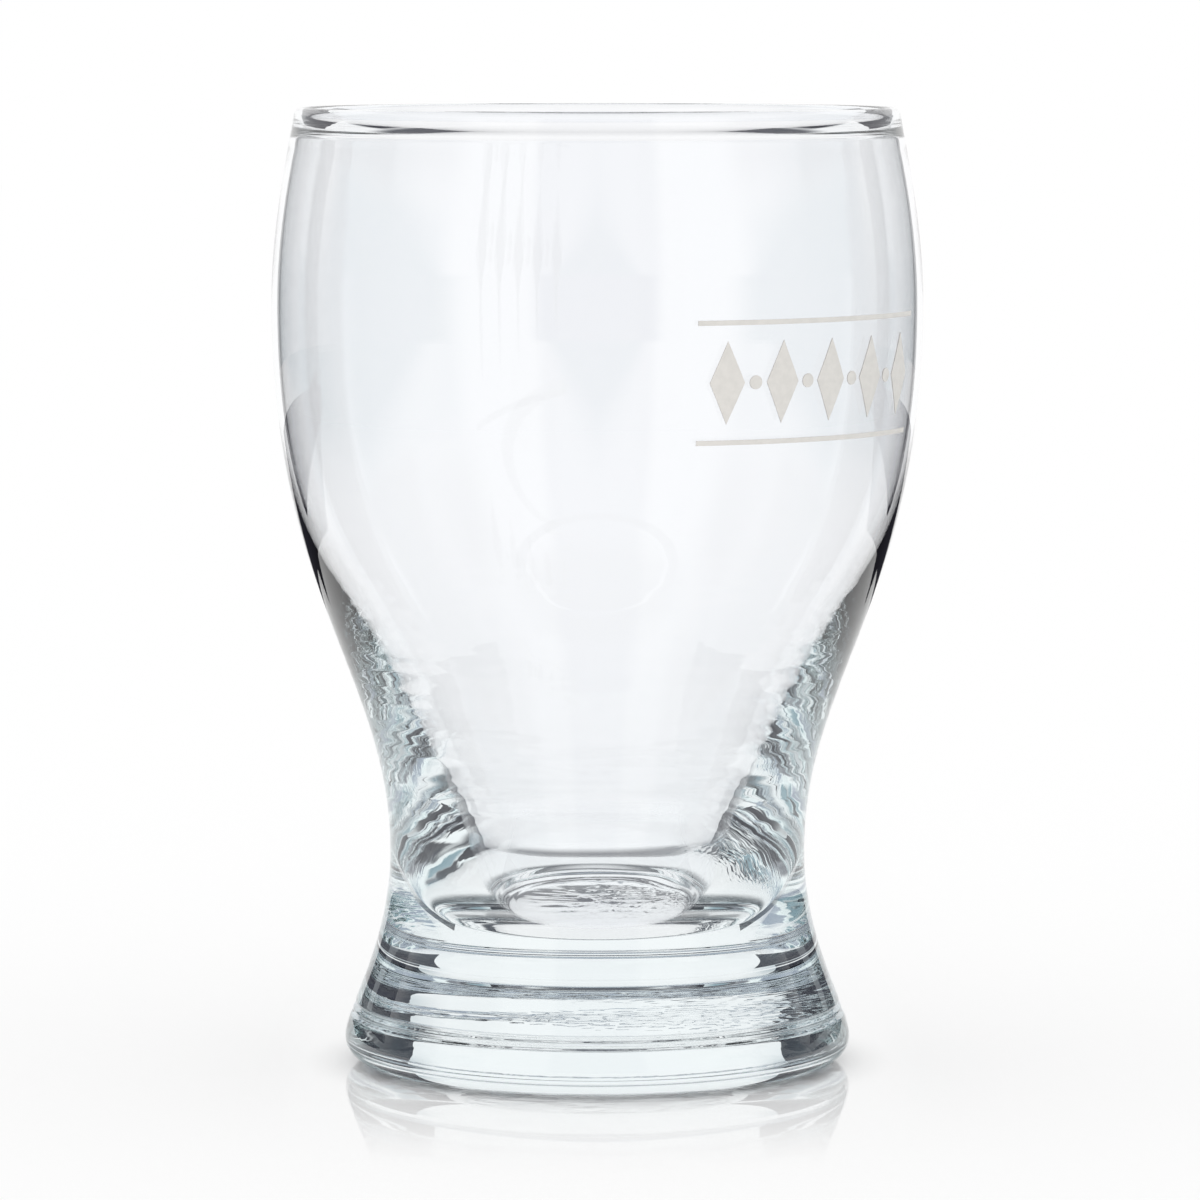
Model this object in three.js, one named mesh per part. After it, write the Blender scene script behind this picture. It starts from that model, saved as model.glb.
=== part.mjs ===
// A tulip-shaped drinking glass of clear soda-lime glass with a solid flared foot, and a frieze of
// fired-on enamel on one side of its bowl. Millimetres, +Z up, origin at the centre of the underside.
import * as THREE from "three";

// Outside of the glass
const glassHeight = 120;
const rimDiameter = 75.8;
const bowlDiameter = 81.6; // the widest place of the bowl
const bowlBelowRim = 24.5; // how far below the top of the rim that place is
const waistDiameter = 52.3;
const waistHeight = 26.5;
const footDiameter = 63.8;
const footEdgeHeight = 3; // the foot is widest here, above its rounded lower edge
const footEdgeWidth = 3.4;
const bearingWidth = 3.6; // the flat ring that the glass stands on
const recessDepth = 1.3; // the hollow underside within that ring
const recessShoulder = 1.9;

// Inside of the glass
const rimBead = 2.1; // the fire-polished rim is thicker than the wall below it
const beadReach = 4; // from the top of the rim to the plain wall below the bead
const neckWall = 1.1;
const bowlWall = 1.1;
const baseThickness = 16; // solid glass below the floor of the hollow
const wellDiameter = 31.8; // the narrow lower end of the hollow's wall
const wellRise = 7.6; // height of that end above the floor
const wellLean = 6.3; // how far the wall leans out above it
const cornerDiameter = 29.8; // the round between the wall and the floor is drawn to this corner
const cornerRise = 2.5;
const ringDiameter = 27.2; // outer crease that the plunger's tip leaves in the floor
const ringRise = 1.5;
const ringStep = 1.4; // how much narrower the foot of that crease is
const floorDiameter = 22.8; // inner crease
const floorDish = 0.35; // the floor within it is lower by this in the middle
const floorLip = 1.6;

// Fullness of each curve at its two ends, as a share of the height that it spans
const footCurve = { lower: 0.145, upper: 0.5 };
const flankCurve = { lower: 0.32, upper: 0.536 };
const shoulderCurve = { lower: 0.37, upper: 0.3 };
const hollowCurve = { lower: 0.45, upper: 0.54 };
const beadCurve = { lower: 0.45, upper: 0.45 };
const rimLean = 1.3; // how far the shoulder still leans in over its last stretch

// Enamel frieze: two rules with a row of lozenges and dots between them
const enamelThickness = 0.2;
const enamelGap = 0.1; // clearance to the wall of the bowl
const friezeTurn = 44; // degrees round from the front of the glass to the middle of the frieze
const friezeBelowRim = 32.3; // from the top of the rim down to the middle of the frieze
const ruleLength = 38;
const ruleWidth = 0.6;
const ruleSpacing = 14.4;
const lozengeCount = 5;
const lozengePitch = 7.6;
const lozengeWidth = 4.6;
const lozengeHeight = 10;
const lozengeSides = 4;
const dotDiameter = 1.7;

// Facets
const turnSteps = 60;
const shortSteps = 4;
const middleSteps = 8;
const longSteps = 12;
const ruleSteps = 26;
const dotSides = 14;
const halvings = 40; // of a curve's span, in the search for a height on it

const clearGlass = new THREE.MeshStandardMaterial({
  name: "clear_glass",
  color: 0xe9f1f0,
  roughness: 0.03,
  metalness: 0,
  transparent: true,
  opacity: 0.35,
});
const paleEnamel = { color: 0xe2ded9, roughness: 0.5, metalness: 0 };

const rimRadius = rimDiameter / 2;
const bowlRadius = bowlDiameter / 2;
const waistRadius = waistDiameter / 2;
const footRadius = footDiameter / 2;
const bowlHeight = glassHeight - bowlBelowRim;
const beadHeight = glassHeight - rimBead / 2;
const point = (radius, height) => new THREE.Vector2(radius, height);

// A meridian curve between two places, upright at both ends. Each end holds its direction as far as its
// fullness says.
function uprightCurve(from, to, fromFullness, toFullness) {
  const rise = to.y - from.y;
  return new THREE.CubicBezierCurve(
    from,
    point(from.x, from.y + fromFullness * rise),
    point(to.x, to.y - toFullness * rise),
    to,
  );
}

// The outer wall from the foot's edge to the rim.
const footPlace = point(footRadius, footEdgeHeight);
const waistPlace = point(waistRadius, waistHeight);
const bowlPlace = point(bowlRadius, bowlHeight);
const rimPlace = point(rimRadius, beadHeight);
const outerFoot = uprightCurve(footPlace, waistPlace, footCurve.lower, footCurve.upper);
const outerFlank = uprightCurve(waistPlace, bowlPlace, flankCurve.lower, flankCurve.upper);
const outerShoulder = uprightCurve(bowlPlace, rimPlace, shoulderCurve.lower, shoulderCurve.upper);
outerShoulder.v2.x += rimLean;

// Radius of a rising meridian curve at a height.
function radiusAt(curve, height) {
  let low = 0;
  let high = 1;
  for (let halving = 0; halving < halvings; halving++) {
    const middle = (low + high) / 2;
    if (curve.getPoint(middle).y < height) low = middle;
    else high = middle;
  }
  return curve.getPoint(low).x;
}

function outerRadiusAt(height) {
  if (height > bowlHeight) return radiusAt(outerShoulder, height);
  if (height > waistHeight) return radiusAt(outerFlank, height);
  return radiusAt(outerFoot, height);
}

// The whole meridian of the glass: underside, foot, outer wall, rim, inner wall and floor.
function glassMeridian() {
  const bearingOuter = footRadius - footEdgeWidth;
  const bearingInner = bearingOuter - bearingWidth;
  const neckHeight = glassHeight - beadReach;
  const neck = point(outerRadiusAt(neckHeight) - neckWall, neckHeight);
  const beadInside = point(rimRadius - rimBead, beadHeight);
  const bowlInside = point(bowlRadius - bowlWall, bowlHeight);
  const well = point(wellDiameter / 2, baseThickness + wellRise);
  const wellCorner = point(cornerDiameter / 2, baseThickness + cornerRise);
  const ring = point(ringDiameter / 2, baseThickness + ringRise);
  const floorEdge = point(floorDiameter / 2, baseThickness + floorDish);
  const ringFoot = point((ringDiameter - ringStep) / 2, floorEdge.y);
  const floorFoot = point((floorDiameter - floorLip) / 2, baseThickness);

  const recess = new THREE.QuadraticBezierCurve(
    point(0, recessDepth),
    point(bearingInner - recessShoulder, recessDepth),
    point(bearingInner, 0),
  );
  const bearing = new THREE.LineCurve(point(bearingInner, 0), point(bearingOuter, 0));
  const footEdge = new THREE.EllipseCurve(
    bearingOuter,
    footEdgeHeight,
    footEdgeWidth,
    footEdgeHeight,
    -Math.PI / 2,
    0,
  );
  const beadTop = new THREE.EllipseCurve(
    rimRadius - rimBead / 2,
    beadHeight,
    rimBead / 2,
    rimBead / 2,
    0,
    Math.PI,
  );
  const beadUnder = uprightCurve(beadInside, neck, beadCurve.upper, beadCurve.lower);
  const shoulderInside = uprightCurve(neck, bowlInside, shoulderCurve.upper, shoulderCurve.lower);
  shoulderInside.v1.x += rimLean;
  const hollow = uprightCurve(bowlInside, well, hollowCurve.upper, hollowCurve.lower);
  hollow.v2.x += wellLean;
  const wellEdge = new THREE.QuadraticBezierCurve(well, wellCorner, ring);
  const floorRing = new THREE.QuadraticBezierCurve(ring, ringFoot, floorEdge);
  const floor = new THREE.QuadraticBezierCurve(floorEdge, floorFoot, point(0, baseThickness));

  const stretches = [
    [recess, shortSteps],
    [bearing, 1],
    [footEdge, shortSteps],
    [outerFoot, middleSteps],
    [outerFlank, longSteps],
    [outerShoulder, middleSteps],
    [beadTop, middleSteps],
    [beadUnder, shortSteps],
    [shoulderInside, middleSteps],
    [hollow, longSteps],
    [wellEdge, middleSteps],
    [floorRing, shortSteps],
    [floor, shortSteps],
  ];
  const after = stretches.flatMap(([curve, steps]) => curve.getPoints(steps).slice(1));
  return [recess.v0, ...after];
}

function glassBody() {
  const geometry = new THREE.LatheGeometry(glassMeridian(), turnSteps);
  geometry.rotateX(Math.PI / 2);
  const mesh = new THREE.Mesh(geometry, clearGlass);
  mesh.name = "glass_body";
  return mesh;
}

// Bends a flat island, drawn with x along the frieze, y up it and z out of it, round the bowl's wall.
function wrapOnBowl(flat) {
  const friezeHeight = glassHeight - friezeBelowRim;
  const friezeRadius = outerRadiusAt(friezeHeight);
  const places = flat.getAttribute("position");
  for (let index = 0; index < places.count; index++) {
    const turn = THREE.MathUtils.degToRad(friezeTurn) + places.getX(index) / friezeRadius;
    const height = friezeHeight + places.getY(index);
    const radius = outerRadiusAt(height) + enamelGap + enamelThickness / 2 + places.getZ(index);
    places.setXYZ(index, radius * Math.sin(turn), -radius * Math.cos(turn), height);
  }
  return flat;
}

function island(name, flat) {
  const material = new THREE.MeshStandardMaterial({ ...paleEnamel, name: "pale_enamel" });
  const mesh = new THREE.Mesh(wrapOnBowl(flat), material);
  mesh.name = name;
  return mesh;
}

function rule(name, up) {
  const flat = new THREE.BoxGeometry(ruleLength, ruleWidth, enamelThickness, ruleSteps, 1, 1);
  return island(name, flat.translate(0, up, 0));
}

// A flat prism with a corner at its top, bottom and two sides, or a round one where it has more sides.
function motif(name, along, width, height, sides) {
  const flat = new THREE.CylinderGeometry(1, 1, enamelThickness, sides);
  flat.rotateX(Math.PI / 2);
  flat.scale(width / 2, height / 2, 1);
  return island(name, flat.translate(along, 0, 0));
}

function enamelFrieze() {
  const frieze = new THREE.Group();
  frieze.add(rule("enamel_rule_upper", ruleSpacing / 2));
  frieze.add(rule("enamel_rule_lower", -ruleSpacing / 2));
  const first = (-(lozengeCount - 1) / 2) * lozengePitch;
  for (let place = 0; place < lozengeCount; place++) {
    const along = first + place * lozengePitch;
    frieze.add(motif(`enamel_lozenge_${place + 1}`, along, lozengeWidth, lozengeHeight, lozengeSides));
    if (place === lozengeCount - 1) continue;
    const between = along + lozengePitch / 2;
    frieze.add(motif(`enamel_dot_${place + 1}`, between, dotDiameter, dotDiameter, dotSides));
  }
  return frieze;
}

const glass = new THREE.Group();
glass.name = "tulip_tumbler";
glass.add(glassBody());
glass.add(enamelFrieze());

export default glass;
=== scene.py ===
import math
import bmesh
import bpy
from mathutils import Matrix, Vector, noise


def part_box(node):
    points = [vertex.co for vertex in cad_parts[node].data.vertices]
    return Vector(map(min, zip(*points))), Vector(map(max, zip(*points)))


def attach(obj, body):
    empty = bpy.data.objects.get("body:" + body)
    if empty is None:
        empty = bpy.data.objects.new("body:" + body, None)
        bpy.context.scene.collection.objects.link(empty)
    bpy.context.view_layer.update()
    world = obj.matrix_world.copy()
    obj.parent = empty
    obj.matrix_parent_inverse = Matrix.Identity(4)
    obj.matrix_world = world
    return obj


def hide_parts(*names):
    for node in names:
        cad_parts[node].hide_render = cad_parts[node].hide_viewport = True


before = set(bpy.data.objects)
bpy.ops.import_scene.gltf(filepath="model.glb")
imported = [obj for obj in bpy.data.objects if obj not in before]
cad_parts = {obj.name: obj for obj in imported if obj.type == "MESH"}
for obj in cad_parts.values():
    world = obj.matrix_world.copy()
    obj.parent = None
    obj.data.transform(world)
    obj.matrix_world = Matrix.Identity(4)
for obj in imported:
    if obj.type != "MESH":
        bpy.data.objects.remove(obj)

scene = bpy.context.scene
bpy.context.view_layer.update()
glassLow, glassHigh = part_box("glass_body")
glassHeight = glassHigh.z
bowlRadius = (glassHigh.x - glassLow.x) / 2
mm = 0.001
white = (1, 1, 1, 1)
print("frame loaded, glass", round(glassHeight / mm, 2), "mm tall")


class Wire:  # a socket of a node tree that can be reckoned with
    def __init__(self, tree, socket=None):
        self.tree = tree
        self.socket = socket

    def node(self, kind, settings=None, sockets=None, out=0):
        made = self.tree.nodes.new(kind)
        for name, value in (settings or {}).items():
            setattr(made, name, value)
        for name, value in (sockets or {}).items():
            self.feed(made.inputs[name], value)
        return Wire(self.tree, made.outputs[out] if len(made.outputs) else None)

    def feed(self, target, value):
        if isinstance(value, Wire):
            self.tree.links.new(value.socket, target)
        else:
            target.default_value = value

    def part(self, name):  # another output of the same node
        return Wire(self.tree, self.socket.node.outputs[name])

    def maths(self, operation, *values):
        return self.node("ShaderNodeMath", {"operation": operation}, dict(enumerate(values)))

    def __add__(self, other):
        return self.maths("ADD", self, other)

    def __radd__(self, other):
        return self.maths("ADD", other, self)

    def __sub__(self, other):
        return self.maths("SUBTRACT", self, other)

    def __rsub__(self, other):
        return self.maths("SUBTRACT", other, self)

    def __mul__(self, other):
        return self.maths("MULTIPLY", self, other)

    def __rmul__(self, other):
        return self.maths("MULTIPLY", other, self)

    def ramp(self, low, high):  # 0 below low, 1 above high, smooth between
        sockets = {"Value": self, "From Min": low, "From Max": high}
        return self.node("ShaderNodeMapRange", {"interpolation_type": "SMOOTHSTEP"}, sockets)

    def blend(self, first, second):  # from the first colour to the second as this goes from 0 to 1
        return self.node("ShaderNodeMix", {"data_type": "RGBA"}, {0: self, 6: first, 7: second}, out=2)


def newMaterial(name):
    material = bpy.data.materials.new(name)
    material.use_nodes = True
    material.node_tree.nodes.clear()
    return material, Wire(material.node_tree)


def finishMaterial(wire, surface, volume=None):
    sockets = {"Surface": surface}
    if volume is not None:
        sockets["Volume"] = volume
    wire.node("ShaderNodeOutputMaterial", None, sockets)


clearGlass = {
    "ior": 1.52,
    "sheen": (0.982, 0.988, 1.0, 1),
    "tint": (0.52, 0.80, 0.80, 1),
    "density": 3.0,                  # of the tint, per metre of glass
    "stippleDepth": 0.11 * mm,
    "stippleGrain": 950.0,           # pips per metre
    "stippleX": (-9 * mm, 6 * mm),   # the underside is smoother to the left of here
    "stippleY": (-5 * mm, 3 * mm),   # and in front of here
    "stippleLeast": 0.04,
}


def clearGlassMaterial():
    material, wire = newMaterial("clearGlass")
    coords = wire.node("ShaderNodeTexCoord", out="Object")
    spot = wire.node("ShaderNodeSeparateXYZ", None, {0: coords})
    bearing = wire.node("ShaderNodeAttribute", {"attribute_name": "bearing"}, out="Fac")
    recess = wire.node("ShaderNodeAttribute", {"attribute_name": "recess"}, out="Fac")
    pips = wire.node("ShaderNodeTexNoise", None, {
        "Vector": coords, "Scale": clearGlass["stippleGrain"], "Detail": 0.0}, out="Fac")
    rough = spot.part("X").ramp(*clearGlass["stippleX"])
    rough *= spot.part("Y").ramp(*clearGlass["stippleY"])
    rough += clearGlass["stippleLeast"]
    bump = wire.node("ShaderNodeBump", None, {
        "Strength": 1.0,
        "Distance": clearGlass["stippleDepth"],
        "Height": pips * (rough * recess + bearing),
    })
    surface = wire.node("ShaderNodeBsdfPrincipled", None, {
        "Base Color": clearGlass["sheen"],
        "Roughness": 0.0,
        "IOR": clearGlass["ior"],
        "Transmission Weight": 1.0,
        "Normal": bump,
    })
    volume = wire.node("ShaderNodeVolumeAbsorption", None, {
        "Color": clearGlass["tint"], "Density": clearGlass["density"]})
    finishMaterial(wire, surface, volume)
    return material


glassShape = {
    "rimRadius": 37.9 * mm,
    "bowlBelowRim": 24.5 * mm,
    "waistRadius": 26.15 * mm,
    "waistHeight": 26.5 * mm,
    "footRadius": 31.9 * mm,
    "footEdgeHeight": 3 * mm,
    "footEdgeWidth": 3.4 * mm,
    "bearingWidth": 3.6 * mm,
    "recessDepth": 1.3 * mm,
    "recessShoulder": 1.9 * mm,
    "seams": (6.2 * mm, 7.1 * mm),   # heights of the mould's lines round the heel
    "seamWidth": 0.26 * mm,
    "seamDepth": 0.6 * mm,
    "seamShares": (0.18, 0.32),      # the stretch of the foot's curve that needs fine steps for them
    "rimBead": 2.1 * mm,
    "beadReach": 4 * mm,
    "neckWall": 1.1 * mm,
    "bowlWall": 1.1 * mm,
    "baseThickness": 16 * mm,
    "wellRadius": 16.4 * mm,
    "wellRise": 7.6 * mm,
    "wellLean": 9.3 * mm,
    "cornerRadius": 14.9 * mm,       # the round between the wall and the floor is drawn to this corner
    "cornerRise": 2.5 * mm,
    "ringRadius": 13.6 * mm,         # creases that the plunger's tip leaves in the floor
    "ringRise": 1.5 * mm,
    "ringStep": 0.7 * mm,
    "floorRadius": 11.4 * mm,
    "floorDish": 0.35 * mm,
    "floorLip": 0.8 * mm,
    "rimLean": 1.3 * mm,
    "hollowBias": 1.25,              # draws the steps of the hollow's wall towards the well
    "mergeWithin": 0.002 * mm,
}
curveFullness = {  # how far each end of a curve holds its direction, as a share of the height spanned
    "foot": (0.145, 0.5),
    "flank": (0.32, 0.536),
    "shoulder": (0.37, 0.3),
    "bead": (0.45, 0.45),
    "hollow": (0.45, 0.54),
}
glassSteps = {
    "turn": 192,
    "recess": 30,
    "bearing": 4,
    "footEdge": 10,
    "foot": 34,
    "seams": 44,
    "flank": 190,
    "shoulder": 22,
    "beadTop": 7,
    "beadUnder": 8,
    "shoulderInside": 16,
    "hollow": 90,
    "wellEdge": 16,
    "floorRing": 8,
    "floor": 24,
}
roundness = 0.5523  # handle of a Bezier quarter circle, as a share of its radius


def place(radius, height):
    return Vector((radius, 0, height))


def evenShares(steps, bias=1):  # a bias above 1 draws the steps to the start
    return [(step / steps) ** bias for step in range(1, steps + 1)]


def stretch(start, startHandle, endHandle, end, shares):
    spots = []
    for share in shares:
        first = start.lerp(startHandle, share)
        middle = startHandle.lerp(endHandle, share)
        last = endHandle.lerp(end, share)
        spots.append(first.lerp(middle, share).lerp(middle.lerp(last, share), share))
    return spots


def upright(start, end, fullness, shares, startLean=0, endLean=0):
    rise = end.z - start.z
    startHandle = start + place(startLean, fullness[0] * rise)
    endHandle = end + place(endLean, -fullness[1] * rise)
    return stretch(start, startHandle, endHandle, end, shares)


def bend(start, corner, end, steps):
    return stretch(start, start.lerp(corner, 2 / 3), end.lerp(corner, 2 / 3), end, evenShares(steps))


def quarter(start, end, steps, startsLevel):
    across = place(roundness * (end.x - start.x), 0)
    rise = place(0, roundness * (end.z - start.z))
    if startsLevel:
        return stretch(start, start + across, end - rise, end, evenShares(steps))
    return stretch(start, start + rise, end - across, end, evenShares(steps))


def withSeam(spot):
    depth = 0
    for height in glassShape["seams"]:
        away = (spot.z - height) / glassShape["seamWidth"]
        depth += glassShape["seamDepth"] * math.exp(-away * away)
    return spot - place(depth, 0)


def footShares():
    fineFrom, fineTo = glassShape["seamShares"]
    shares = [share for share in evenShares(glassSteps["foot"]) if not fineFrom < share < fineTo]
    fine = glassSteps["seams"]
    shares += [fineFrom + (fineTo - fineFrom) * step / fine for step in range(fine + 1)]
    return sorted(shares)


def undersideSpots():
    s = glassShape
    bearingOuter = s["footRadius"] - s["footEdgeWidth"]
    bearingInner = bearingOuter - s["bearingWidth"]
    centre = place(0, s["recessDepth"])
    recessCorner = place(bearingInner - s["recessShoulder"], s["recessDepth"])
    recessEnd = place(bearingInner, 0)
    bearingEnd = place(bearingOuter, 0)
    recess = [centre] + bend(centre, recessCorner, recessEnd, glassSteps["recess"])
    bearing = bend(recessEnd, recessEnd.lerp(bearingEnd, 0.5), bearingEnd, glassSteps["bearing"])
    return recess, bearing


def glassMeridian():
    s = glassShape
    steps = glassSteps
    recess, bearing = undersideSpots()
    beadHeight = glassHeight - s["rimBead"] / 2
    footEdge = place(s["footRadius"], s["footEdgeHeight"])
    waist = place(s["waistRadius"], s["waistHeight"])
    bowl = place(bowlRadius, glassHeight - s["bowlBelowRim"])
    rimOutside = place(s["rimRadius"], beadHeight)
    rimTop = place(s["rimRadius"] - s["rimBead"] / 2, glassHeight)
    rimInside = place(s["rimRadius"] - s["rimBead"], beadHeight)
    bowlInside = place(bowlRadius - s["bowlWall"], bowl.z)
    well = place(s["wellRadius"], s["baseThickness"] + s["wellRise"])
    wellCorner = place(s["cornerRadius"], s["baseThickness"] + s["cornerRise"])
    ring = place(s["ringRadius"], s["baseThickness"] + s["ringRise"])
    floorEdge = place(s["floorRadius"], s["baseThickness"] + s["floorDish"])
    ringFoot = place(s["ringRadius"] - s["ringStep"], floorEdge.z)
    floorFoot = place(s["floorRadius"] - s["floorLip"], s["baseThickness"])
    floorMiddle = place(0, s["baseThickness"])

    shoulder = upright(bowl, rimOutside, curveFullness["shoulder"], evenShares(steps["shoulder"]),
                       endLean=s["rimLean"])
    neckHeight = glassHeight - s["beadReach"]
    neckOutside = min(shoulder, key=lambda spot: abs(spot.z - neckHeight))
    neck = place(neckOutside.x - s["neckWall"], neckOutside.z)

    outside = quarter(bearing[-1], footEdge, steps["footEdge"], True)
    outside += [withSeam(spot) for spot in upright(footEdge, waist, curveFullness["foot"], footShares())]
    outside += upright(waist, bowl, curveFullness["flank"], evenShares(steps["flank"]))
    outside += shoulder
    outside += quarter(rimOutside, rimTop, steps["beadTop"], False)

    inside = quarter(rimTop, rimInside, steps["beadTop"], True)
    inside += upright(rimInside, neck, curveFullness["bead"], evenShares(steps["beadUnder"]))
    inside += upright(neck, bowlInside, curveFullness["shoulder"][::-1], evenShares(steps["shoulderInside"]),
                      startLean=s["rimLean"])

    hollow = upright(well, bowlInside, curveFullness["hollow"], evenShares(steps["hollow"], s["hollowBias"]),
                     startLean=s["wellLean"])
    chilledWall = hollow[-2::-1] + [well]  # drawn upwards, so turned round here
    chilledWall += bend(well, wellCorner, ring, steps["wellEdge"])
    chilledWall += bend(ring, ringFoot, floorEdge, steps["floorRing"])
    chilledWall += bend(floorEdge, floorFoot, floorMiddle, steps["floor"])
    return {
        "recess": recess,
        "bearing": bearing,
        "outside": outside,
        "inside": inside,
        "chilledWall": chilledWall,
    }


meridian = glassMeridian()
print("meridian", sum(len(spots) for spots in meridian.values()), "places")

wallRipples = {  # slight waves that fade out up and down the wall
    "outside": {
        "low": 28 * mm,
        "lowFade": 6 * mm,
        "high": 64 * mm,
        "highFade": 14 * mm,
        "depth": 0.025 * mm,
        "rise": 1.8 * mm,
        "run": 26 * mm,
    },
    "chilledWall": {
        "low": 18 * mm,
        "lowFade": 7 * mm,
        "high": 66 * mm,
        "highFade": 22 * mm,
        "depth": 0.012 * mm,
        "rise": 2.2 * mm,
        "run": 14 * mm,
    },
}
floorSwirl = {"radius": 11 * mm, "depth": 0.16 * mm, "rise": 1.3 * mm, "run": 4.5 * mm, "onset": 2.5}
waveGrain = {"dimension": 0.9, "lacunarity": 2.0, "octaves": 2}


def wave(spot, run, rise):
    sample = Vector((spot.x / run, spot.y / run, spot.z / rise))
    return noise.fractal(sample, waveGrain["dimension"], waveGrain["lacunarity"], waveGrain["octaves"],
                         noise_basis="PERLIN_ORIGINAL")


def rippleAt(spot, ripples):
    fadeUp = min(1, max(0, (ripples["high"] - spot.z) / ripples["highFade"]))
    fadeDown = min(1, max(0, (spot.z - ripples["low"]) / ripples["lowFade"]))
    return ripples["depth"] * fadeUp * fadeDown * wave(spot, ripples["run"], ripples["rise"])


def swirlAt(spot):  # the plunger's chill marks in the middle of the floor
    middle = max(0, 1 - spot.xy.length / floorSwirl["radius"])
    turned = Vector((spot.x, 0, spot.y))
    fade = min(1, floorSwirl["onset"] * middle)
    return floorSwirl["depth"] * fade * wave(turned, floorSwirl["run"], floorSwirl["rise"])


def glassBody(material):
    shape = bmesh.new()
    layers = {name: shape.verts.layers.float.new(name) for name in meridian}
    last = None
    for part, spots in meridian.items():
        for spot in spots:
            corner = shape.verts.new(spot)
            corner[layers[part]] = 1
            if last:
                shape.edges.new((last, corner))
            last = corner
    bmesh.ops.spin(shape, geom=shape.verts[:] + shape.edges[:], cent=(0, 0, 0), axis=(0, 0, 1),
                   dvec=(0, 0, 0), angle=math.tau, steps=glassSteps["turn"], use_merge=True)
    bmesh.ops.remove_doubles(shape, verts=shape.verts, dist=glassShape["mergeWithin"])
    bmesh.ops.recalc_face_normals(shape, faces=shape.faces)
    shape.normal_update()
    for corner in shape.verts:
        depth = 0
        for part, ripples in wallRipples.items():
            if corner[layers[part]] > 0:
                depth += rippleAt(corner.co, ripples)
        if corner[layers["chilledWall"]] > 0:
            depth += swirlAt(corner.co)
        corner.co += corner.normal * depth
    return addPiece("glassBody", shape, material, "glass_body")


def addPiece(name, shape, material, node):
    mesh = bpy.data.meshes.new(name)
    shape.to_mesh(mesh)
    shape.free()
    for face in mesh.polygons:
        face.use_smooth = True
    mesh.materials.append(material)
    piece = bpy.data.objects.new(name, mesh)
    scene.collection.objects.link(piece)
    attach(piece, "root")
    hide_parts(node)
    print(name, len(mesh.polygons), "faces")
    return piece


glassBody(clearGlassMaterial())

paleEnamel = {
    "warm": (0.785, 0.755, 0.715, 1),
    "cool": (0.735, 0.708, 0.67, 1),
    "mottle": 1100.0,                # blotches per metre
    "mottleDetail": 4.0,
    "mottleEdges": (0.3, 0.7),
    "grain": 5200.0,
    "grainDetail": 2.0,
    "grainDepth": 0.006 * mm,
    "glossy": 0.34,
    "dull": 0.52,
    "ior": 1.5,
}


def paleEnamelMaterial():
    material, wire = newMaterial("paleEnamel")
    coords = wire.node("ShaderNodeTexCoord", out="Object")
    blotch = wire.node("ShaderNodeTexNoise", None, {
        "Vector": coords, "Scale": paleEnamel["mottle"], "Detail": paleEnamel["mottleDetail"]}, out="Fac")
    grain = wire.node("ShaderNodeTexNoise", None, {
        "Vector": coords, "Scale": paleEnamel["grain"], "Detail": paleEnamel["grainDetail"]}, out="Fac")
    paint = blotch.ramp(*paleEnamel["mottleEdges"]).blend(paleEnamel["warm"], paleEnamel["cool"])
    bump = wire.node("ShaderNodeBump", None, {
        "Strength": 1.0, "Distance": paleEnamel["grainDepth"], "Height": grain + blotch})
    roughness = grain * (paleEnamel["dull"] - paleEnamel["glossy"]) + paleEnamel["glossy"]
    surface = wire.node("ShaderNodeBsdfPrincipled", None, {
        "Base Color": paint, "Roughness": roughness, "IOR": paleEnamel["ior"], "Normal": bump})
    finishMaterial(wire, surface)
    return material


enamelFrieze = {
    "film": 0.12 * mm,
    "gap": 0.02 * mm,
    "softEdge": 0.04 * mm,
    "softSegments": 2,
    "waver": 0.02 * mm,              # unevenness of the printed edge
    "waverRun": 0.5 * mm,
    "waverSeed": 5,                  # without one, the vector noise is seeded from the clock
    "turn": 44,                      # degrees round from the front
    "belowRim": 32.3 * mm,
    "ruleLength": 38 * mm,
    "ruleWidth": 0.6 * mm,
    "ruleSpacing": 14.4 * mm,
    "ruleCells": (120, 2),
    "lozengeCount": 5,
    "lozengePitch": 7.6 * mm,
    "lozengeWidth": 4.6 * mm,
    "lozengeHeight": 10 * mm,
    "lozengeCells": 16,
    "dotDiameter": 1.7 * mm,
    "dotSides": 40,
}


def outerRadiusAt(height):
    above = next(index for index, spot in enumerate(meridian["outside"]) if spot.z >= height)
    low = meridian["outside"][above - 1]
    high = meridian["outside"][above]
    return low.lerp(high, (height - low.z) / (high.z - low.z)).x


def thickenIsland(flat):
    f = enamelFrieze
    grown = bmesh.ops.extrude_face_region(flat, geom=flat.faces[:], use_keep_orig=True)["geom"]
    top = [corner for corner in grown if isinstance(corner, bmesh.types.BMVert)]
    bmesh.ops.translate(flat, verts=top, vec=(0, 0, f["film"]))
    bmesh.ops.recalc_face_normals(flat, faces=flat.faces)
    upward = [face for face in flat.faces if face.normal.z > 0.9]
    topFaces = {face for face in upward if face.calc_center_median().z > f["film"] / 2}
    rim = [edge for edge in flat.edges if len(topFaces.intersection(edge.link_faces)) == 1]
    bmesh.ops.bevel(flat, geom=rim, offset=f["softEdge"], affect="EDGES", segments=f["softSegments"],
                    profile=0.5, material=-1)


def bendRoundBowl(flat):
    f = enamelFrieze
    middle = glassHeight - f["belowRim"]
    friezeRadius = outerRadiusAt(middle)
    for corner in flat.verts:
        turn = math.radians(f["turn"]) + corner.co.x / friezeRadius
        lift = middle + corner.co.y
        radius = outerRadiusAt(lift) + f["gap"] + corner.co.z
        corner.co = (radius * math.sin(turn), -radius * math.cos(turn), lift)


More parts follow.
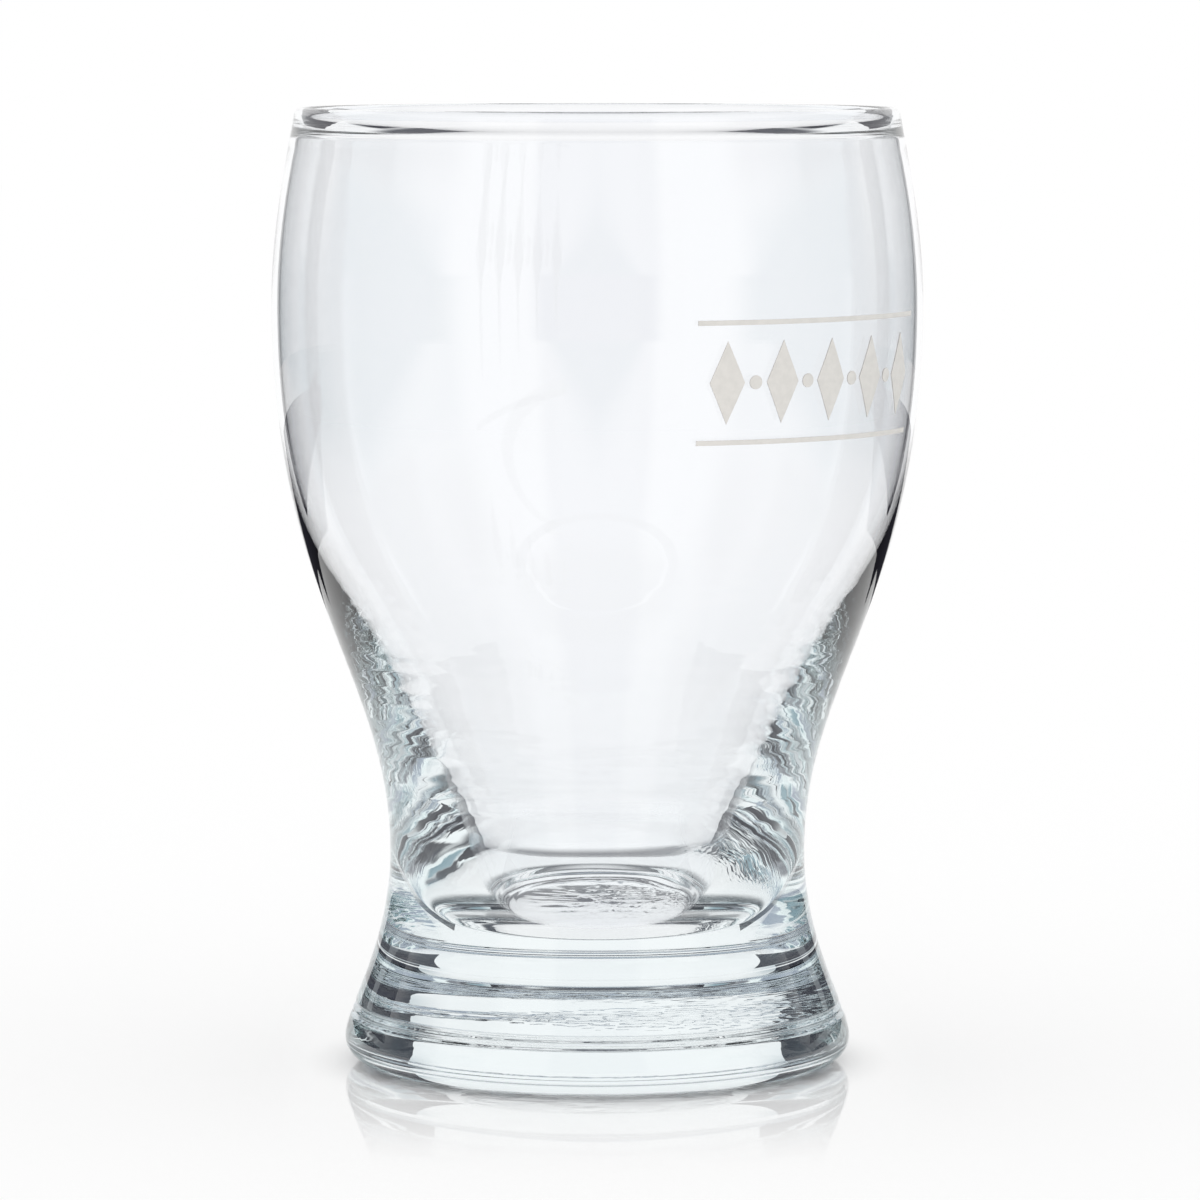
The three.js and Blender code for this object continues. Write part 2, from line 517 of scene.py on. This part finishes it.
def enamelIsland(name, node, flat, along, up, width, height, material):
    f = enamelFrieze
    bmesh.ops.scale(flat, verts=flat.verts, vec=(width / 2, height / 2, 1))
    bmesh.ops.translate(flat, verts=flat.verts, vec=(along, up, 0))
    for corner in flat.verts:
        if corner.is_boundary:
            corner.co.xy += f["waver"] * noise.noise_vector(corner.co / f["waverRun"]).xy
    thickenIsland(flat)
    bendRoundBowl(flat)
    return addPiece(name, flat, material, node)


def ruleBlank():
    flat = bmesh.new()
    longCells, wideCells = enamelFrieze["ruleCells"]
    bmesh.ops.create_grid(flat, x_segments=longCells, y_segments=wideCells, size=1)
    return flat


def lozengeBlank():
    flat = bmesh.new()
    cells = enamelFrieze["lozengeCells"]
    quarterTurn = Matrix.Rotation(math.radians(45), 3, "Z")
    bmesh.ops.create_grid(flat, x_segments=cells, y_segments=cells, size=math.sqrt(0.5))
    bmesh.ops.rotate(flat, verts=flat.verts, cent=(0, 0, 0), matrix=quarterTurn)
    return flat


def dotBlank():
    flat = bmesh.new()
    bmesh.ops.create_circle(flat, cap_ends=True, cap_tris=True, segments=enamelFrieze["dotSides"], radius=1)
    return flat


def addFrieze(material):
    f = enamelFrieze
    noise.seed_set(f["waverSeed"])
    for word, up in (("Upper", f["ruleSpacing"] / 2), ("Lower", -f["ruleSpacing"] / 2)):
        enamelIsland("enamelRule" + word, "enamel_rule_" + word.lower(), ruleBlank(), 0, up,
                     f["ruleLength"], f["ruleWidth"], material)
    for count in range(f["lozengeCount"]):
        along = (count - (f["lozengeCount"] - 1) / 2) * f["lozengePitch"]
        enamelIsland(f"enamelLozenge{count + 1}", f"enamel_lozenge_{count + 1}", lozengeBlank(), along, 0,
                     f["lozengeWidth"], f["lozengeHeight"], material)
        if count + 1 < f["lozengeCount"]:
            enamelIsland(f"enamelDot{count + 1}", f"enamel_dot_{count + 1}", dotBlank(),
                         along + f["lozengePitch"] / 2, 0, f["dotDiameter"], f["dotDiameter"], material)


addFrieze(paleEnamelMaterial())
print("frieze laid on the bowl")

viewpoint = {  # the photograph's viewing angle
    "distance": 780 * mm,
    "height": 131.5 * mm,
    "aside": 0.34 * mm,
    "downTilt": 5.372,               # degrees
    "lens": 186.7,
    "sensor": 36,
    "clipStart": 0.01,
}


def addCamera():
    camera = bpy.data.objects.new("camera", bpy.data.cameras.new("camera"))
    camera.location = (viewpoint["aside"], -viewpoint["distance"], viewpoint["height"])
    camera.rotation_euler = (math.radians(90 - viewpoint["downTilt"]), 0, 0)
    camera.data.lens = viewpoint["lens"]
    camera.data.sensor_width = viewpoint["sensor"]
    camera.data.clip_start = viewpoint["clipStart"]
    scene.collection.objects.link(camera)
    scene.camera = camera
    return camera


camera = addCamera()
print("camera placed")

studioFloor = {
    "radius": 4.0,
    "segments": 96,
    "drop": 0.25 * mm,
    "gloss": 0.36,                       # share of the tabletop round the foot that mirrors
    "glossFade": (30 * mm, 80 * mm),
    "glossWidth": (34 * mm, 43 * mm),
    "behindGloss": 0.96,                 # a patch right behind the glass mirrors more
    "behindStart": (8 * mm, 26 * mm),
    "behindFade": (56 * mm, 74 * mm),
    "behindWidth": (16 * mm, 25 * mm),
    "glow": 0.6,                         # share that glows, painted light that fades the glass's shadow, but not where the foot's edge stands
    "paintedLightUnderGlass": 0.93,                  # within the foot's ring, painted light under the glass
    # between these two radii the glow is missing: a painted contact shadow round the foot's edge
    "contactShadowInner": (25 * mm, 28 * mm),
    "contactShadowOuter": (31 * mm, 38 * mm),
    "halfWidth": 0.12,                   # of the white sweep beside the glass
    "spread": 0.50,                      # by which it widens behind
    "frontSpread": 1.38,
    "falloff": 0.30,
    "frontWedge": 0.40,                  # towards the camera the table darkens within this wedge
    "frontFade": (0.06, 0.18),
    "sideColour": (0.28, 0.40, 0.44, 1),
}


def floorMaterial():
    s = studioFloor
    material, wire = newMaterial("paleFloor")
    coords = wire.node("ShaderNodeTexCoord", out="Object")
    away = wire.node("ShaderNodeVectorMath", {"operation": "LENGTH"}, {0: coords}, out="Value")
    spot = wire.node("ShaderNodeSeparateXYZ", None, {0: coords})
    across = wire.maths("ABSOLUTE", spot.part("X"))
    along = spot.part("Y")
    edge = wire.maths("MAXIMUM", along * s["spread"], along * -s["frontSpread"])
    beside = (across - edge - s["halfWidth"]).ramp(0.0, s["falloff"])
    before = (along * -s["frontWedge"] - across).ramp(*s["frontFade"])
    paint = wire.maths("MAXIMUM", beside, before).blend(white, s["sideColour"])
    matt = wire.node("ShaderNodeBsdfDiffuse", None, {"Color": paint})
    glow = wire.node("ShaderNodeEmission", None, {"Color": paint, "Strength": 1.0})
    # painted light and shadow: the floor glows, more under the glass, and not at all in a painted
    # contact-shadow ring round the foot
    paintedGlowShare = away.ramp(*s["contactShadowOuter"]) * s["glow"]
    paintedGlowShare += (1 - away.ramp(*s["contactShadowInner"])) * s["paintedLightUnderGlass"]
    lit = wire.node("ShaderNodeMixShader", None, {0: paintedGlowShare, 1: matt, 2: glow})
    behind = along.ramp(*s["behindStart"])
    behind *= (1 - away.ramp(*s["behindFade"])) * s["behindGloss"]
    behind *= 1 - across.ramp(*s["behindWidth"])
    front = (1 - away.ramp(*s["glossFade"])) * s["gloss"]
    front *= 1 - across.ramp(*s["glossWidth"])
    share = wire.maths("MAXIMUM", behind, front) * away.ramp(*s["contactShadowInner"])
    gloss = wire.node("ShaderNodeBsdfGlossy", None, {"Color": white, "Roughness": 0.0})
    finishMaterial(wire, wire.node("ShaderNodeMixShader", None, {0: share, 1: lit, 2: gloss}))
    return material


def addStage(name, shape, material):
    mesh = bpy.data.meshes.new(name)
    shape.to_mesh(mesh)
    shape.free()
    mesh.materials.append(material)
    piece = bpy.data.objects.new(name, mesh)
    scene.collection.objects.link(piece)
    return piece


def addFloor():
    shape = bmesh.new()
    bmesh.ops.create_circle(shape, cap_ends=True, segments=studioFloor["segments"],
                            radius=studioFloor["radius"])
    bmesh.ops.translate(shape, verts=shape.verts, vec=(0, 0, -studioFloor["drop"]))
    return addStage("studioFloor", shape, floorMaterial())


floor = addFloor()
print("floor laid")


def addStand():  # turns the studio with the camera, so that each view has it behind the glass
    stand = bpy.data.objects.new("cardStand", None)
    scene.collection.objects.link(stand)
    turn = stand.constraints.new("COPY_ROTATION")
    turn.target = camera
    turn.use_x = False
    turn.use_y = False
    floor.parent = stand
    return stand


def hangCard(card, stand):
    card.parent = stand
    card.visible_camera = False
    card.visible_diffuse = False
    card.visible_shadow = False


def cardMaterial(name, colour):
    material, wire = newMaterial(name)
    finishMaterial(wire, wire.node("ShaderNodeEmission", None, {"Color": colour, "Strength": 1.0}))
    return material


# Soft surround that only glass and gloss see: degrees round from straight behind the glass, and up.
surround = {"radius": 1.1, "rings": 32, "segments": 64, "cutWithin": 0.1 * mm}
surroundPatches = [
    {"from": 30, "to": 70, "edge": 6, "low": -9, "high": 9, "fade": 9, "colour": (0.52, 0.58, 0.61, 1)},
    {"from": 70, "to": 126, "edge": 6, "low": -9, "high": 18, "fade": 3, "colour": (0.31, 0.41, 0.46, 1)},
    {"from": 64, "to": 100, "edge": 3, "low": 18, "high": 45, "fade": 3, "colour": (0.05, 0.048, 0.06, 1)},
    {"from": 97, "to": 128, "edge": 8, "low": 20, "high": 45, "fade": 6, "colour": (0.20, 0.20, 0.23, 1)},
    {"from": 158, "to": 190, "edge": 3, "low": -9, "high": 70, "fade": 4, "colour": (0.42, 0.44, 0.52, 1)},
    {"from": -9, "to": 190, "edge": 3, "low": 47, "high": 99, "fade": 4, "colour": (0.10, 0.10, 0.115, 1)},
]


def surroundMaterial():
    material, wire = newMaterial("studioSurround")
    coords = wire.node("ShaderNodeTexCoord", out="Object")
    spot = wire.node("ShaderNodeSeparateXYZ", None, {0: coords})
    level = wire.node("ShaderNodeVectorMath", {"operation": "MULTIPLY"}, {
        0: coords, 1: (1, 1, 0)}, out="Vector")
    reach = wire.node("ShaderNodeVectorMath", {"operation": "LENGTH"}, {0: level}, out="Value")
    across = wire.maths("ABSOLUTE", spot.part("X"))
    about = wire.maths("ARCTAN2", across, spot.part("Y")) * math.degrees(1)
    up = wire.maths("ARCTAN2", spot.part("Z"), reach) * math.degrees(1)
    paint = white
    for patch in surroundPatches:
        edge = patch["edge"]
        fade = patch["fade"]
        mask = about.ramp(patch["from"] - edge, patch["from"] + edge)
        mask *= 1 - about.ramp(patch["to"] - edge, patch["to"] + edge)
        mask *= up.ramp(patch["low"] - fade, patch["low"] + fade)
        mask *= 1 - up.ramp(patch["high"] - fade, patch["high"] + fade)
        paint = mask.blend(paint, patch["colour"])
    finishMaterial(wire, wire.node("ShaderNodeEmission", None, {"Color": paint, "Strength": 1.0}))
    return material


def addSurround(stand):
    dome = bmesh.new()
    bmesh.ops.create_uvsphere(dome, u_segments=surround["segments"], v_segments=surround["rings"],
                              radius=surround["radius"])
    bmesh.ops.bisect_plane(dome, geom=dome.verts[:] + dome.edges[:] + dome.faces[:],
                           dist=surround["cutWithin"], plane_co=(0, 0, 0), plane_no=(0, 0, 1),
                           clear_inner=True)
    hangCard(addStage("studioSurround", dome, surroundMaterial()), stand)


backFlags = {  # dark cards behind, to the left and right
    "behind": 0.226,
    "inner": 0.135,
    "outer": 0.50,
    "tiers": ((0, 0.03, True), (0.03, 0.24, False)),  # from, to, and whether gloss mirrors it
    "colour": (0.035, 0.034, 0.045, 1),
}


def addBackFlags(stand):
    material = cardMaterial("backFlag", backFlags["colour"])
    for side, word in ((1, "Right"), (-1, "Left")):
        for tier, (low, high, mirrored) in enumerate(backFlags["tiers"]):
            shape = bmesh.new()
            inner = shape.verts.new((side * backFlags["inner"], backFlags["behind"], low))
            outer = shape.verts.new((side * backFlags["outer"], backFlags["behind"], low))
            foot = shape.edges.new((inner, outer))
            grown = bmesh.ops.extrude_edge_only(shape, edges=[foot])["geom"]
            top = [corner for corner in grown if isinstance(corner, bmesh.types.BMVert)]
            bmesh.ops.translate(shape, verts=top, vec=(0, 0, high - low))
            flag = addStage(f"backFlag{word}{tier + 1}", shape, material)
            hangCard(flag, stand)
            flag.visible_glossy = mirrored


tableShadowStrips = {  # painted shadow of the glass on the table: dark arcs beside the foot that only the foot and walls pick up
    "inner": 34 * mm,
    "outer": 53 * mm,
    "height": 0,
    "from": 46,                          # degrees round from straight behind
    "to": 130,
    "steps": 24,
    "colour": (0.05, 0.05, 0.06, 1),
}
sideShelves = {  # dark arcs above it that only the tabletop and the glass mirror
    "inner": 0.10,
    "outer": 0.34,
    "height": 0.045,
    "from": 26,
    "to": 70,
    "steps": 24,
    "colour": (0.035, 0.034, 0.045, 1),
}


def levelCards(name, card, stand):
    material = cardMaterial(name, card["colour"])
    made = []
    for side, word in ((1, "Left"), (-1, "Right")):
        shape = bmesh.new()
        inner = shape.verts.new((0, card["inner"], card["height"]))
        outer = shape.verts.new((0, card["outer"], card["height"]))
        edge = shape.edges.new((inner, outer))
        bmesh.ops.rotate(shape, verts=shape.verts, cent=(0, 0, 0),
                         matrix=Matrix.Rotation(math.radians(side * card["from"]), 3, "Z"))
        bmesh.ops.spin(shape, geom=[inner, outer, edge], cent=(0, 0, 0), axis=(0, 0, 1), dvec=(0, 0, 0),
                       angle=math.radians(side * (card["to"] - card["from"])), steps=card["steps"])
        piece = addStage(name + word, shape, material)
        hangCard(piece, stand)
        made.append(piece)
    return made


def addStudio():
    stand = addStand()
    addSurround(stand)
    addBackFlags(stand)
    # painted shadow strips on the table, seen only through the glass
    for shadowStrip in levelCards("tableShadowStrip", tableShadowStrips, stand):
        shadowStrip.visible_glossy = False
    for shelf in levelCards("sideShelf", sideShelves, stand):
        shelf.visible_transmission = False


addStudio()


def addWorld():
    world = bpy.data.worlds.new("whiteStudio")
    world.use_nodes = True
    world.node_tree.nodes.clear()
    wire = Wire(world.node_tree)
    light = wire.node("ShaderNodeBackground", None, {"Color": white, "Strength": 1.0})
    wire.node("ShaderNodeOutputWorld", None, {"Surface": light})
    scene.world = world


lightBounces = {"all": 32, "through": 32, "mirrored": 16}

addWorld()
scene.view_settings.view_transform = "Standard"
scene.cycles.max_bounces = lightBounces["all"]
scene.cycles.transmission_bounces = lightBounces["through"]
scene.cycles.glossy_bounces = lightBounces["mirrored"]
print("studio set")
